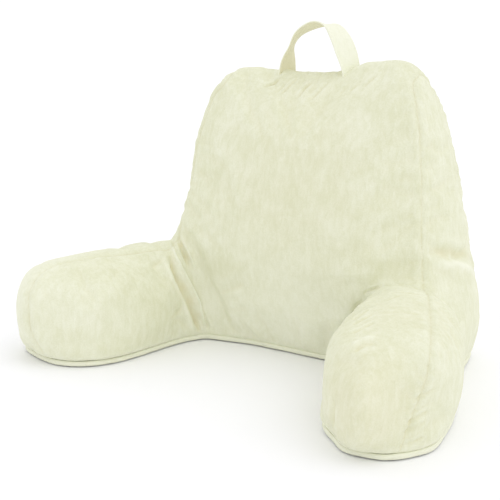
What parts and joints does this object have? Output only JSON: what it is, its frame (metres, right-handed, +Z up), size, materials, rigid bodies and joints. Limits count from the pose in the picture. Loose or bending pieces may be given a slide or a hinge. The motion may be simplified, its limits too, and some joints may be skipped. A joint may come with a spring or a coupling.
{
  "type": "reading pillow",
  "caption": "Filled velour back cushion that stands on its flat base, with two forward arm bolsters, a carry strap on top and a welt along the bottom seam",
  "frame": {"origin": "centre of the bounding box in plan, on the surface that the pillow stands on", "axes": "+Z up, the front of the back faces -Y with the arms reaching that way, +X to the right for someone who looks at the front"},
  "size_m": [0.7204, 0.5494, 0.5349],
  "materials": {
    "cover_velour": "short pale ivory-green velour with a soft sheen and a brushed, mottled nap",
    "strap_velour": "the same velour, folded into a flat strap",
    "welt_velour": "the same velour, wrapped round a thin cord"
  },
  "bodies": {
    "root": {"backrest": "cover_velour", "arm_left": "cover_velour", "arm_right": "cover_velour", "carry_strap": "strap_velour", "base_welt": "welt_velour"}
  },
  "joints": []
}
